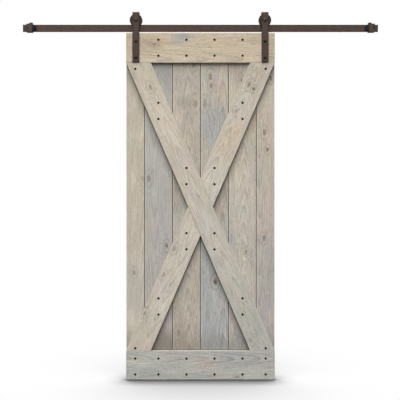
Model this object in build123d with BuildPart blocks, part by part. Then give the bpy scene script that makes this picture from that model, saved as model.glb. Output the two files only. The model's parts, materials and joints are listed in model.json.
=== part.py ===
from build123d import *

import math
import os

# Sliding barn door: an X-braced plank leaf hung from a flat rail by two bent-strap roller hangers.
# X runs along the rail, Y points into the wall, whose face is Y = 0, and Z is up.
# The origin lies on the wall's face, behind the rail's middle bolt.
# Depths are distances out from the wall, towards the viewer, so a depth d lies at Y = -d.

os.makedirs("parts", exist_ok=True)

# Leaf
door_width = 914.4
door_height = 2133.6
door_top_gap = 8.0
plank_thickness = 17.5
outer_plank_width = 112.2
inner_plank_count = 4
tongue_thickness = 6.0
tongue_length = 7.0
tongue_clearance = 0.3
reveal_width = 3.0
board_thickness = 17.5
top_board_width = 184.15
bottom_board_width = 177.8
brace_width = 139.7
board_seam = 0.5
edge_ease = 1.0

# Board screws
screw_head_radius = 5.7
screw_head_height = 1.8
screw_head_sides = 12
screw_radius = 2.25
screw_length = 31.0
screw_shank_sides = 6
top_board_screw_inset = 43.0
bottom_board_screw_foot = 32.0
bottom_board_screw_head = 48.0
brace_screw_pitch = 99.5
brace_screw_drop = 12.0
brace_end_screw_upper = 38.0
brace_end_screw_lower = 15.0

# Rail
rail_length = 2189.0
rail_height = 44.0
rail_thickness = 6.0
rail_ease = 0.6
rail_bolt_inset = 218.5
rail_bolt_count = 5
spacer_length = 35.0
spacer_flange_gap = 2.0
bolt_radius = 4.0
bolt_clearance = 0.3
bolt_head_radius = 8.5
bolt_head_angle = 90.0
bolt_head_recess = 0.2
bolt_socket_radius = 3.0
bolt_socket_depth = 3.0
thread_core_radius = 3.3
thread_length = 44.0
thread_tip_length = 6.0

# End stops
stop_end_inset = 24.5
stop_length = 37.0
stop_front_cheek = 18.0
stop_back_cheek = 8.0
stop_slot_clearance = 0.3
stop_shoulder_rise = 3.0
stop_skirt_drop = 4.0
stop_crest_length = 18.0
stop_crest_rise = 6.5
stop_round = 2.0
bumper_length = 18.0
bumper_height = 34.0
bumper_rail_gap = 0.6
bumper_corner_radius = 4.0
bumper_nose_ease = 2.0
bumper_peg_radius = 4.0
bumper_peg_length = 10.0
bumper_peg_clearance = 0.1
stop_screw_radius = 4.0
stop_screw_clearance = 0.15
stop_screw_recess = 1.5
stop_screw_socket_radius = 2.3
stop_screw_socket_depth = 4.0

# Wheels and bearings
wheel_width = 22.0
wheel_ride_gap = 0.3
wheel_side_gap = 2.0
wheel_top_gap = 5.0
tread_radius = 27.0
flange_depth = 11.8
groove_side_gap = 1.5
groove_flare = 2.0
flange_rim_ease = 1.2
bearing_radius = 16.0
bearing_width = 10.0
bearing_ring_wall = 2.6
bearing_shield_gap = 0.2
bearing_fit = 0.02
wheel_lip_radius = 13.5
axle_radius = 6.0
axle_fit = 0.05
axle_sleeve_wall = 2.2

# Hanger straps
hanger_inset = 60.2
strap_width = 42.0
strap_thickness = 6.0
strap_bend_radius = 4.0
strap_foot_inset = 3.0
strap_corner_radius = 2.0
strap_bolt_radius = 4.0
strap_bolt_clearance = 0.3
strap_bolt_drop = 52.5
strap_bolt_foot = 27.5
strap_bolt_head_radius = 10.0
strap_bolt_head_rim = 1.2
strap_bolt_head_dome = 4.3
strap_bolt_tail = 2.5
strap_washer_radius = 11.0
strap_washer_thickness = 1.6
strap_nut_flats = 13.0
strap_nut_thickness = 6.5
axle_head_radius = 11.5
axle_head_rim = 1.5
axle_head_dome = 5.5
axle_tail = 1.0
axle_nut_flats = 18.0
axle_nut_thickness = 9.0

# Sides of a hex nut or socket
hex_sides = 6

# Depths out from the wall
rail_back = spacer_length
rail_face = rail_back + rail_thickness
rail_middle = rail_back + rail_thickness / 2
strap_half_span = wheel_width / 2 + wheel_side_gap
board_face = rail_middle + strap_half_span
plank_face = board_face - board_thickness
plank_back = plank_face - plank_thickness
plank_middle = plank_back + plank_thickness / 2
strap_face = board_face + strap_thickness
strap_back = rail_middle - strap_half_span - strap_thickness
stop_face = rail_face + stop_front_cheek
stop_back = rail_back - stop_back_cheek

# Heights
rail_top = rail_height / 2
axle_height = rail_top + wheel_ride_gap + tread_radius
strap_top = axle_height + tread_radius + flange_depth + wheel_top_gap + strap_thickness
door_top = -rail_height / 2 - door_top_gap
door_bottom = door_top - door_height
brace_top = door_top - top_board_width
brace_bottom = door_bottom + bottom_board_width
strap_foot = brace_top + strap_foot_inset
strap_bolt_heights = (door_top - strap_bolt_drop, strap_foot + strap_bolt_foot)

# Places along the rail
half_width = door_width / 2
hanger_x = half_width - hanger_inset
inner_plank_width = (door_width - 2 * outer_plank_width) / inner_plank_count
inner_left = -half_width + outer_plank_width
plank_edges = [-half_width]
plank_edges += [inner_left + i * inner_plank_width for i in range(inner_plank_count + 1)]
plank_edges += [half_width]
plank_spans = list(zip(plank_edges[:-1], plank_edges[1:]))
plank_centres = [(left + right) / 2 for left, right in plank_spans]
rail_bolt_pitch = (rail_length - 2 * rail_bolt_inset) / (rail_bolt_count - 1)
bolt_places = [(i - (rail_bolt_count - 1) / 2) * rail_bolt_pitch for i in range(rail_bolt_count)]
stop_outer = rail_length / 2 - stop_end_inset
stop_inner = stop_outer - stop_length
sides = {"left": -1, "right": 1}

# Sizes shared by pieces that meet
inner_ring_radius = axle_radius + axle_fit + bearing_ring_wall
bumper_depth = stop_front_cheek - bumper_rail_gap
bumper_middle = stop_face - bumper_depth / 2
stop_screw_x = stop_outer - (stop_length - stop_crest_length) / 2

# Braces run from corner to corner of the field between the two face boards.
# brace_cut is a brace's width along the board that it meets, and brace_run its lean over that height.
brace_drop = brace_top - brace_bottom
brace_diagonal = math.sqrt(brace_drop**2 + door_width**2 - brace_width**2)
brace_cut = brace_width * (brace_drop * brace_diagonal - brace_width * door_width)
brace_cut /= brace_drop**2 - brace_width**2
brace_run = door_width - brace_cut
brace_lean = brace_run / brace_drop
seam_cut = board_seam * math.hypot(1, brace_lean)


def keep(piece, name):
    """Label a finished piece and write its STEP file."""
    piece.part.label = name
    export_step(piece.part, f"parts/{name}.step")


def turning_plane(x, depth, height):
    """Plane through a turned piece's axis: local x points at the viewer and local y up."""
    return Plane(origin=(x, -depth, height), x_dir=(0, -1, 0), z_dir=(-1, 0, 0))


def turning_axis(x, height):
    """Axis of a turned piece, straight out from the wall."""
    return Axis((x, 0, height), (0, 1, 0))


def brace_height(x):
    """Height of the falling brace's centre line at x; the rising one has the same at -x."""
    return brace_top - (x + half_width - brace_cut / 2) / brace_lean


# Screw places on the leaf, as X and Z pairs: two rows in each face board, pairs and end screws in the braces
top_rows = (door_top - top_board_screw_inset, brace_top + top_board_screw_inset)
bottom_rows = (door_bottom + bottom_board_screw_foot, brace_bottom - bottom_board_screw_head)
brace_rows = (-brace_screw_drop - brace_screw_pitch / 2, -brace_screw_drop + brace_screw_pitch / 2)
inner_centres = plank_centres[1:-1]
falling_screws = [(x, brace_height(x) + row) for x in inner_centres for row in brace_rows]
falling_screws += [(plank_centres[0], brace_top - brace_end_screw_upper)]
falling_screws += [(plank_centres[-1], brace_bottom + brace_end_screw_lower)]
screw_places = [(x, z) for x in inner_centres for z in top_rows]
screw_places += [(x, z) for x in plank_centres for z in bottom_rows]
screw_places += falling_screws
screw_places += [(-x, z) for x, z in falling_screws]

# Hanger bolt and axle places, as X and Z pairs
strap_bolt_places = [(side * hanger_x, z) for side in sides.values() for z in strap_bolt_heights]
axle_places = [(side * hanger_x, axle_height) for side in sides.values()]


def plank(number, left, right):
    """A full-height plank: grooved on its left edge, tongued on its right, plain at the leaf's sides."""
    has_groove = number > 1
    has_tongue = number < len(plank_spans)
    lip = (plank_thickness - tongue_thickness) / 2
    with BuildPart() as piece:
        with BuildSketch(Plane.XY.offset(door_bottom)):
            with Locations(((left + right) / 2, -plank_middle)):
                Rectangle(right - left, plank_thickness)
            if has_groove:
                with Locations((left, -plank_middle)):
                    Rectangle(
                        tongue_length + tongue_clearance,
                        tongue_thickness + 2 * tongue_clearance,
                        align=(Align.MIN, Align.CENTER),
                        mode=Mode.SUBTRACT,
                    )
                with Locations((left, -plank_face)):
                    Rectangle(reveal_width / 2, lip, align=(Align.MIN, Align.MIN), mode=Mode.SUBTRACT)
            if has_tongue:
                with Locations((right, -plank_middle)):
                    Rectangle(tongue_length, tongue_thickness, align=(Align.MIN, Align.CENTER))
                with Locations((right, -plank_face)):
                    Rectangle(reveal_width / 2, lip, align=(Align.MAX, Align.MIN), mode=Mode.SUBTRACT)
        extrude(amount=door_height)
        chamfer(piece.edges().filter_by(Axis.Z).group_by(Axis.Y)[0], edge_ease)
        with Locations(Plane.XZ.offset(plank_face)):
            for place in strap_bolt_places:
                if left < place[0] < right:
                    with Locations(place):
                        Hole(strap_bolt_radius + strap_bolt_clearance)
    keep(piece, f"plank_{number}")


def face_board(name, low_edge, width, bolts):
    """A horizontal board across the leaf, drilled for the hanger bolts that pass it."""
    with BuildPart() as piece:
        with BuildSketch(Plane.XZ.offset(plank_face)):
            with Locations((0, low_edge)):
                Rectangle(door_width, width, align=(Align.CENTER, Align.MIN))
        extrude(amount=board_thickness)
        chamfer(piece.faces().sort_by(Axis.Y)[0].edges(), edge_ease)
        with Locations(Plane.XZ.offset(board_face)):
            for place in bolts:
                with Locations(place):
                    Hole(strap_bolt_radius + strap_bolt_clearance)
    keep(piece, name)


def brace_outline(lean, spread):
    """Corners of a brace, for lean 1 falling to the right and for -1 rising, widened by spread."""
    outer = -lean * (half_width + spread)
    inner = -lean * (half_width - brace_cut - spread)
    high = brace_top - board_seam
    low = brace_bottom + board_seam
    slip = lean * board_seam * brace_lean
    return [(outer + slip, high), (inner + slip, high), (-outer - slip, low), (-inner - slip, low)]


def brace(name, outline_face):
    """A brace board cut to its outline, with its front edges eased."""
    with BuildPart() as piece:
        extrude(outline_face, amount=board_thickness)
        chamfer(piece.faces().sort_by(Axis.Y)[0].edges(), edge_ease)
    keep(piece, name)


def board_screws():
    """All the wood screws, few-sided: low heads on the boards, shanks driven through them into the planks."""
    with BuildPart() as piece:
        with BuildSketch(Plane.XZ.offset(board_face)):
            with Locations(*screw_places):
                RegularPolygon(screw_head_radius, screw_head_sides)
        extrude(amount=screw_head_height)
        with BuildSketch(Plane.XZ.offset(board_face)):
            with Locations(*screw_places):
                RegularPolygon(screw_radius, screw_shank_sides)
        extrude(amount=-screw_length)
    keep(piece, "board_screws")


def track_rail():
    """The flat bar, with a countersunk hole for each lag screw."""
    with BuildPart() as piece:
        with BuildSketch(Plane.XZ.offset(rail_back)):
            Rectangle(rail_length, rail_height)
        extrude(amount=rail_thickness)
        chamfer(piece.edges().filter_by(Axis.X), rail_ease)
        with Locations(Plane.XZ.offset(rail_face)):
            with Locations(*[(x, 0) for x in bolt_places]):
                CounterSinkHole(
                    bolt_radius + bolt_clearance,
                    bolt_head_radius + bolt_clearance,
                    counter_sink_angle=bolt_head_angle,
                )
    keep(piece, "track_rail")


def rail_spacer(number, x):
    """A tube that holds the rail off the wall, slim enough for the wheel flanges to pass over it."""
    outer_radius = rail_top + wheel_ride_gap - flange_depth - spacer_flange_gap
    with BuildPart() as piece:
        with BuildSketch(Plane.XZ):
            with Locations((x, 0)):
                Circle(outer_radius)
                Circle(bolt_radius + bolt_clearance, mode=Mode.SUBTRACT)
        extrude(amount=spacer_length)
    keep(piece, f"rail_spacer_{number}")


def rail_bolts():
    """Lag screws: countersunk socket heads, plain shanks in the spacers, threads past the wall's face."""
    head_face = rail_face - bolt_head_recess
    head_back = head_face - (bolt_head_radius - bolt_radius) / math.tan(math.radians(bolt_head_angle / 2))
    tip_end = -thread_length - thread_tip_length
    with BuildPart() as piece:
        for x in bolt_places:
            with BuildSketch(turning_plane(x, 0, 0)):
                with BuildLine():
                    Polyline(
                        (head_face, 0),
                        (head_face, bolt_head_radius),
                        (head_back, bolt_radius),
                        (0, bolt_radius),
                        (0, thread_core_radius),
                        (-thread_length, thread_core_radius),
                        (tip_end, 0),
                        close=True,
                    )
                make_face()
            revolve(axis=turning_axis(x, 0))
        with BuildSketch(Plane.XZ.offset(head_face)):
            with Locations(*[(x, 0) for x in bolt_places]):
                RegularPolygon(bolt_socket_radius, hex_sides)
        extrude(amount=-bolt_socket_depth, mode=Mode.SUBTRACT)
    keep(piece, "rail_bolts")


def stop_body(name, side):
    """End stop: a saddle over the rail, with a raised crest on the side that the door comes from."""
    shoulder = rail_top + stop_shoulder_rise
    crest = rail_top + stop_shoulder_rise + stop_crest_rise
    skirt = -rail_height / 2 - stop_skirt_drop
    slot_width = rail_thickness + 2 * stop_slot_clearance
    with BuildPart() as piece:
        with BuildSketch(Plane.YZ.offset(side * stop_inner)):
            with Locations((-stop_face, skirt)):
                Rectangle(stop_face - stop_back, shoulder - skirt, align=(Align.MIN, Align.MIN))
        extrude(amount=side * stop_length)
        with BuildSketch(Plane.YZ.offset(side * stop_inner)):
            with Locations((-stop_face, skirt)):
                Rectangle(stop_face - stop_back, crest - skirt, align=(Align.MIN, Align.MIN))
        extrude(amount=side * stop_crest_length)
        fillet(piece.edges().filter_by(Axis.X), stop_round)
        with BuildSketch(Plane.YZ.offset(side * stop_inner)):
            with Locations((-rail_middle, skirt)):
                Rectangle(slot_width, rail_top - skirt, align=(Align.CENTER, Align.MIN))
        extrude(amount=side * stop_length, mode=Mode.SUBTRACT)
        with Locations(Plane.YZ.offset(side * stop_inner)):
            with Locations((-bumper_middle, 0)):
                Hole(bumper_peg_radius + bumper_peg_clearance, bumper_peg_length + bumper_peg_clearance)
        with Locations(Plane.XZ.offset(stop_face)):
            with Locations((side * stop_screw_x, 0)):
                Hole(stop_screw_radius + stop_screw_clearance, stop_front_cheek)
    keep(piece, name)


def bumper(name, side):
    """Rubber block in front of the rail, with a peg pushed into the stop."""
    with BuildPart() as piece:
        with BuildSketch(Plane.YZ.offset(side * stop_inner)):
            with Locations((-bumper_middle, 0)):
                RectangleRounded(bumper_depth, bumper_height, bumper_corner_radius)
        extrude(amount=-side * bumper_length)
        nose = piece.faces().sort_by(Axis.X)[0 if side > 0 else -1]
        chamfer(nose.edges(), bumper_nose_ease)
        with BuildSketch(Plane.YZ.offset(side * stop_inner)):
            with Locations((-bumper_middle, 0)):
                Circle(bumper_peg_radius)
        extrude(amount=side * bumper_peg_length)
    keep(piece, name)


def stop_screw(name, side):
    """Grub screw through the stop's front cheek, its tip on the rail."""
    with BuildPart() as piece:
        with BuildSketch(Plane.XZ.offset(rail_face)):
            with Locations((side * stop_screw_x, 0)):
                Circle(stop_screw_radius)
        extrude(amount=stop_front_cheek - stop_screw_recess)
        with BuildSketch(Plane.XZ.offset(stop_face - stop_screw_recess)):
            with Locations((side * stop_screw_x, 0)):
                RegularPolygon(stop_screw_socket_radius, hex_sides)
        extrude(amount=-stop_screw_socket_depth, mode=Mode.SUBTRACT)
    keep(piece, name)


def hanger_strap(name, x):
    """Flat bar bent over the wheel: a long leg bolted to the leaf, a short rounded leg behind the rail."""
    front_leg = -(board_face + strap_face) / 2
    back_leg = -(strap_back + strap_thickness / 2)
    bridge = strap_top - strap_thickness / 2
    with BuildPart() as piece:
        with BuildSketch(Plane.YZ.offset(x)):
            with BuildLine():
                FilletPolyline(
                    (front_leg, strap_foot),
                    (front_leg, bridge),
                    (back_leg, bridge),
                    (back_leg, axle_height),
                    radius=strap_bend_radius + strap_thickness / 2,
                )
            trace(line_width=strap_thickness)
        extrude(amount=strap_width / 2, both=True)
        fillet(piece.edges().filter_by(Axis.Y).group_by(Axis.Z)[0], strap_corner_radius)
        with BuildSketch(Plane.XZ.offset(strap_back)):
            with Locations((x, axle_height)):
                Circle(strap_width / 2)
        extrude(amount=strap_thickness)
        with Locations(Plane.XZ.offset(strap_face)):
            with Locations((x, axle_height)):
                Hole(axle_radius + axle_fit)
            with Locations(*[(x, z) for z in strap_bolt_heights]):
                Hole(strap_bolt_radius + strap_bolt_clearance)
    keep(piece, name)


def dome_bolts(name, places, head_radius, head_rim, head_dome, shank_radius, shank_length):
    """Dome-headed bolts whose heads sit on the straps' front."""
    with BuildPart() as piece:
        for x, z in places:
            with BuildSketch(turning_plane(x, strap_face, z)):
                with BuildLine():
                    dome = TangentArc(
                        (head_rim + head_dome, 0),
                        (head_rim, head_radius),
                        tangent=(0, 1),
                    )
                    Polyline(
                        dome @ 1,
                        (0, head_radius),
                        (0, shank_radius),
                        (-shank_length, shank_radius),
                        (-shank_length, 0),
                        dome @ 0,
                    )
                make_face()
            revolve(axis=turning_axis(x, z))
    keep(piece, name)


def strap_washers():
    """Plain washers under the strap nuts, behind the leaf."""
    with BuildPart() as piece:
        with BuildSketch(Plane.XZ.offset(plank_back)):
            with Locations(*strap_bolt_places):
                Circle(strap_washer_radius)
                Circle(strap_bolt_radius + strap_bolt_clearance, mode=Mode.SUBTRACT)
        extrude(amount=-strap_washer_thickness)
    keep(piece, "strap_washers")


def hex_nuts(name, places, seat, flats, thickness, bore_radius):
    """Hex nuts on bolts that come out at the back, seated at a depth and reaching towards the wall."""
    with BuildPart() as piece:
        with BuildSketch(Plane.XZ.offset(seat)):
            with Locations(*places):
                RegularPolygon(flats / 2, hex_sides, major_radius=False)
                Circle(bore_radius, mode=Mode.SUBTRACT)
        extrude(amount=-thickness)
    keep(piece, name)


def axle_spacers():
    """Sleeves on the axles that clamp each bearing's inner ring between the legs of its strap."""
    sleeve_length = strap_half_span - bearing_width / 2
    with BuildPart() as piece:
        for depth in (rail_middle + bearing_width / 2, rail_middle - strap_half_span):
            with BuildSketch(Plane.XZ.offset(depth)):
                with Locations(*axle_places):
                    Circle(axle_radius + axle_fit + axle_sleeve_wall)
                    Circle(axle_radius + axle_fit, mode=Mode.SUBTRACT)
            extrude(amount=sleeve_length)
    keep(piece, "axle_spacers")


def bearing_ring(name, x, outer_radius, bore_radius):
    """One ring of a sealed bearing; the outer ring includes the shields that close it."""
    with BuildPart() as piece:
        with BuildSketch(Plane.XZ.offset(rail_middle - bearing_width / 2)):
            with Locations((x, axle_height)):
                Circle(outer_radius)
                Circle(bore_radius, mode=Mode.SUBTRACT)
        extrude(amount=bearing_width)
    keep(piece, name)


def wheel(name, x):
    """Grooved roller: a flat tread between two flanges, with a bearing pocket open to the front."""
    half = wheel_width / 2
    flange_radius = tread_radius + flange_depth
    tread_half = rail_thickness / 2 + groove_side_gap
    mouth_half = tread_half + groove_flare
    pocket_radius = bearing_radius + bearing_fit
    pocket_floor = -bearing_width / 2
    with BuildPart() as piece:
        with BuildSketch(turning_plane(x, rail_middle, axle_height)):
            with BuildLine():
                Polyline(
                    (-half, wheel_lip_radius),
                    (-half, flange_radius - flange_rim_ease),
                    (-half + flange_rim_ease, flange_radius),
                    (-mouth_half, flange_radius),
                    (-tread_half, tread_radius),
                    (tread_half, tread_radius),
                    (mouth_half, flange_radius),
                    (half - flange_rim_ease, flange_radius),
                    (half, flange_radius - flange_rim_ease),
                    (half, pocket_radius),
                    (pocket_floor, pocket_radius),
                    (pocket_floor, wheel_lip_radius),
                    close=True,
                )
            make_face()
        revolve(axis=turning_axis(x, axle_height))
    keep(piece, name)


# Fixed to the wall
track_rail()
rail_bolts()
for number, x in enumerate(bolt_places, start=1):
    rail_spacer(number, x)
for name, side in sides.items():
    stop_body(f"{name}_stop_body", side)
    bumper(f"{name}_bumper", side)
    stop_screw(f"{name}_stop_screw", side)

# Leaf
for number, (left, right) in enumerate(plank_spans, start=1):
    plank(number, left, right)
face_board("top_board", brace_top, top_board_width, strap_bolt_places)
face_board("bottom_board", door_bottom, bottom_board_width, [])

with BuildSketch(Plane.XZ.offset(plank_face)) as falling_brace:
    with BuildLine():
        Polyline(*brace_outline(1, 0), close=True)
    make_face()
with BuildSketch(Plane.XZ.offset(plank_face)) as rising_brace:
    with BuildLine():
        Polyline(*brace_outline(-1, 0), close=True)
    make_face()
    with BuildLine():
        Polyline(*brace_outline(1, seam_cut), close=True)
    make_face(mode=Mode.SUBTRACT)
rising_halves = rising_brace.sketch.faces().sort_by(Axis.Z)
brace("long_brace", falling_brace.sketch.face())
brace("upper_half_brace", rising_halves[-1])
brace("lower_half_brace", rising_halves[0])
board_screws()

# Hangers
strap_bore = strap_bolt_radius + strap_bolt_clearance
strap_nut_seat = plank_back - strap_washer_thickness
strap_shank = strap_face - strap_nut_seat + strap_nut_thickness + strap_bolt_tail
strap_head = (strap_bolt_head_radius, strap_bolt_head_rim, strap_bolt_head_dome)
dome_bolts("strap_bolts", strap_bolt_places, *strap_head, strap_bolt_radius, strap_shank)
strap_washers()
hex_nuts("strap_nuts", strap_bolt_places, strap_nut_seat, strap_nut_flats, strap_nut_thickness, strap_bore)

axle_bore = axle_radius + axle_fit
axle_shank = strap_face - strap_back + axle_nut_thickness + axle_tail
axle_head = (axle_head_radius, axle_head_rim, axle_head_dome)
dome_bolts("axle_bolts", axle_places, *axle_head, axle_radius, axle_shank)
hex_nuts("axle_nuts", axle_places, strap_back, axle_nut_flats, axle_nut_thickness, axle_bore)
axle_spacers()

for name, side in sides.items():
    x = side * hanger_x
    hanger_strap(f"{name}_hanger_strap", x)
    bearing_ring(f"{name}_bearing_inner_ring", x, inner_ring_radius, axle_bore)
    bearing_ring(f"{name}_bearing_outer_ring", x, bearing_radius, inner_ring_radius + bearing_shield_gap)
    wheel(f"{name}_wheel", x)
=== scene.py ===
"""Looks of a sliding barn door: a weathered plank leaf hung from a bronze rail, in a plain white studio."""

import functools
import json
import logging
import math
from collections.abc import Callable, Mapping, Sequence
from dataclasses import dataclass
from enum import Enum
from typing import ClassVar

import bpy
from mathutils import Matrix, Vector


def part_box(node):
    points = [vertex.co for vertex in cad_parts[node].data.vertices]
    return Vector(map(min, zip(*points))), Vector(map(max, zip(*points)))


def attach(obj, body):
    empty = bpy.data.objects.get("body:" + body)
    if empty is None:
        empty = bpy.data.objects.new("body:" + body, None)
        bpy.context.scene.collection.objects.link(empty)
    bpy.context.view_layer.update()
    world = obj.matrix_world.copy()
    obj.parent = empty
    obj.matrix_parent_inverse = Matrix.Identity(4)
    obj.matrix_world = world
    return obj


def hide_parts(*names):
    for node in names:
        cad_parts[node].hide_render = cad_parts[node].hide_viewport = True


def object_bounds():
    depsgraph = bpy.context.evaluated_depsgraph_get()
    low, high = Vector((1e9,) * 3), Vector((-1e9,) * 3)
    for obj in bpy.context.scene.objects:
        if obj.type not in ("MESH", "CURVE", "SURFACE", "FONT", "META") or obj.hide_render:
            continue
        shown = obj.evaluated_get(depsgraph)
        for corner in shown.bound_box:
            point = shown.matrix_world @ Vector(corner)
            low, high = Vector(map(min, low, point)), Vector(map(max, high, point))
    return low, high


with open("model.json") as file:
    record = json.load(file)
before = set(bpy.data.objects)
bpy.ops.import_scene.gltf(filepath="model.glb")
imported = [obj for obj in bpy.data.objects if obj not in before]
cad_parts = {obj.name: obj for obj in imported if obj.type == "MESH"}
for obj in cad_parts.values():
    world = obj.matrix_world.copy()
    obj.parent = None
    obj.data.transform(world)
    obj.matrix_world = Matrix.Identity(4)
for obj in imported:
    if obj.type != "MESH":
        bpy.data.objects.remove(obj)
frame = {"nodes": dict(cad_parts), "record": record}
cad_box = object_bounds()

LOG = logging.getLogger("barn_door")
MM = 0.001
SCREW_SPACE = 30.0 * MM
DOME_STEPS = 8
LOBES = 6
LOBE_DEPTH = 0.16
SHARP_ANGLE = math.radians(32.0)
WELD_DISTANCE = 0.01 * MM
ROUND_STEPS = 2
ROUND_ANGLE = math.radians(35.0)

Triple = tuple[float, float, float]
Colour = Triple
Socket = bpy.types.NodeSocket
Value = float | Sequence[float] | Socket
Polar = float | Callable[[float], float]
Ring = tuple[Polar, float]

WHITE: Colour = (1.0, 1.0, 1.0)
FRONTAL: Triple = (1.0, 0.0, 1.0)


@dataclass(frozen=True)
class Texture:
    """A cloudy noise: its scale in cycles a metre, its detail and roughness, and what it does to wood.

    Stretch is the share of the scale that is left along a board, swing how far it moves the tone either way,
    and relief its share of the bump.
    """

    scale: float
    detail: float
    roughness: float = 0.55
    stretch: float = 1.0
    swing: float = 0.0
    relief: float = 0.0


class Graph:
    """The node tree of a material or a world, with a short method for each kind of node in use."""

    def __init__(self, owner: bpy.types.Material | bpy.types.World) -> None:
        """Start from an empty tree.

        Args:
            owner: The material or world that the tree belongs to.
        """
        owner.use_nodes = True
        self.owner = owner
        self.tree = owner.node_tree
        self.tree.nodes.clear()

    def feed(self, socket: Socket, value: Value) -> None:
        """Link a socket to an output, or set its own constant.

        Args:
            socket: The input to fill.
            value: An output socket, a number, or the numbers of a vector or colour.
        """
        if isinstance(value, bpy.types.NodeSocket):
            self.tree.links.new(value, socket)
        elif socket.type == "RGBA":
            socket.default_value = (*value, 1.0)
        else:
            socket.default_value = value

    def add(self, kind: str, inputs: Mapping[str | int, Value] | None = None,
            **settings: object) -> bpy.types.Node:
        """Add a node.

        Args:
            kind: Blender's name of the node type.
            inputs: What goes into its input sockets, by name or index.
            **settings: Properties to set on the node.

        Returns:
            The new node.
        """
        node = self.tree.nodes.new(kind)
        for name, setting in settings.items():
            setattr(node, name, setting)
        for key, value in (inputs or {}).items():
            self.feed(node.inputs[key], value)
        return node

    def math(self, operation: str, *operands: Value) -> Socket:
        """Combine numbers.

        Args:
            operation: The Math node's operation.
            *operands: Its inputs in order.

        Returns:
            The result.
        """
        return self.add("ShaderNodeMath", dict(enumerate(operands)), operation=operation).outputs[0]

    def total(self, *terms: Value) -> Socket:
        """Return the sum of several numbers."""
        return functools.reduce(functools.partial(self.math, "ADD"), terms)

    def product(self, *terms: Value) -> Socket:
        """Return the product of several numbers."""
        return functools.reduce(functools.partial(self.math, "MULTIPLY"), terms)

    def vector(self, operation: str, *operands: Value) -> Socket:
        """Combine vectors.

        Args:
            operation: The Vector Math node's operation.
            *operands: Its inputs in order.

        Returns:
            The resulting vector, or the number for a length or a dot product.
        """
        node = self.add("ShaderNodeVectorMath", dict(enumerate(operands)), operation=operation)
        return node.outputs["Value" if operation in ("LENGTH", "DOT_PRODUCT") else "Vector"]

    def scaled(self, vector: Socket, factor: Socket) -> Socket:
        """Return a vector or colour times a number."""
        inputs = {"Vector": vector, "Scale": factor}
        return self.add("ShaderNodeVectorMath", inputs, operation="SCALE").outputs["Vector"]

    def smooth(self, value: Socket, start: float, end: float, low: float = 0.0, high: float = 1.0) -> Socket:
        """Ease from one level to another as a value passes from start to end.

        Args:
            value: The value that drives the change.
            start: Where the change starts.
            end: Where it ends, which may be below start.
            low: The level at the start.
            high: The level at the end.

        Returns:
            The eased level.
        """
        inputs = {"Value": value, "From Min": start, "From Max": end, "To Min": low, "To Max": high}
        return self.add("ShaderNodeMapRange", inputs, interpolation_type="SMOOTHSTEP").outputs["Result"]

    def clouds(self, place: Socket, texture: Texture) -> bpy.types.Node:
        """Return a node of cloudy noise around 0.5, which gives a level and a colour."""
        inputs = {"Vector": place, "Scale": texture.scale, "Detail": texture.detail,
                  "Roughness": texture.roughness}
        return self.add("ShaderNodeTexNoise", inputs)

    def noise(self, place: Socket, texture: Texture) -> Socket:
        """Return the level of cloudy noise around 0.5."""
        return self.clouds(place, texture).outputs[0]

    def swing(self, noise: Socket, reach: float) -> Socket:
        """Return noise turned into a swing of plus or minus reach about zero."""
        return self.product(self.math("SUBTRACT", noise, 0.5), 2.0 * reach)

    def mix(self, factor: Value, first: Value, second: Value) -> Socket:
        """Mix two colours.

        Args:
            factor: The second colour's share.
            first: The colour at factor 0.
            second: The colour at factor 1.

        Returns:
            The mixed colour.
        """
        # A Mix node's colour sockets share their names, so they go by number: 6 and 7 in, and 2 out.
        node = self.add("ShaderNodeMix", {0: factor, 6: first, 7: second}, data_type="RGBA")
        return node.outputs[2]

    def place(self) -> Socket:
        """Return the surface point in the part's own frame, in metres."""
        return self.add("ShaderNodeTexCoord").outputs["Object"]

    def parts(self, vector: Socket) -> tuple[Socket, Socket, Socket]:
        """Return a vector's three numbers."""
        return tuple(self.add("ShaderNodeSeparateXYZ", {0: vector}).outputs)

    def join(self, x: Value, y: Value, z: Value) -> Socket:
        """Return a vector made of three numbers."""
        return self.add("ShaderNodeCombineXYZ", {0: x, 1: y, 2: z}).outputs[0]

    def bump(self, height: Socket, distance: float) -> Socket:
        """Return a normal pushed about by a height of 0 to 1 that stands for a distance in metres."""
        return self.add("ShaderNodeBump", {"Height": height, "Distance": distance}).outputs[0]

    def seen(self) -> Socket:
        """Tell rays that show a surface from rays that carry light.

        Returns:
            1 for rays that show it to the eye or in a reflection, and 0 for light bounces.
        """
        path = self.add("ShaderNodeLightPath").outputs
        shown = self.math("MAXIMUM", path["Is Camera Ray"], path["Is Glossy Ray"])
        return self.math("MAXIMUM", shown, path["Is Transmission Ray"])

    def finish(self, **inputs: Value) -> bpy.types.Material:
        """Close the tree with a Principled surface.

        Args:
            **inputs: Its inputs, with spaces in their names written as underscores.

        Returns:
            The finished material.
        """
        named = {name.replace("_", " "): value for name, value in inputs.items()}
        surface = self.add("ShaderNodeBsdfPrincipled", named)
        self.add("ShaderNodeOutputMaterial", {"Surface": surface.outputs[0]})
        return self.owner


class Wash(Enum):
    """Colours of the thin wash on the boards, and of what darkens it."""

    CREAM = (0.53, 0.438, 0.322)
    HONEY = (0.44, 0.36, 0.265)
    BEIGE = (0.50, 0.44, 0.355)
    OAT = (0.52, 0.475, 0.405)
    PUTTY = (0.47, 0.415, 0.335)
    CLAY = (0.43, 0.385, 0.325)
    STONE = (0.41, 0.40, 0.365)
    PEWTER = (0.42, 0.405, 0.37)
    SLATE = (0.375, 0.375, 0.36)
    MAUVE = (0.385, 0.355, 0.33)
    ROSE = (0.47, 0.39, 0.345)
    CHALK = (0.66, 0.61, 0.52)
    BARK = (0.19, 0.145, 0.11)
    RUST = (0.21, 0.135, 0.12)
    SOOT = (0.045, 0.04, 0.034)


class Grain(Enum):
    """Which way a board's length runs on the leaf."""

    UPRIGHT = "upright"
    LEVEL = "level"
    FALLING = "falling"
    RISING = "rising"


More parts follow.
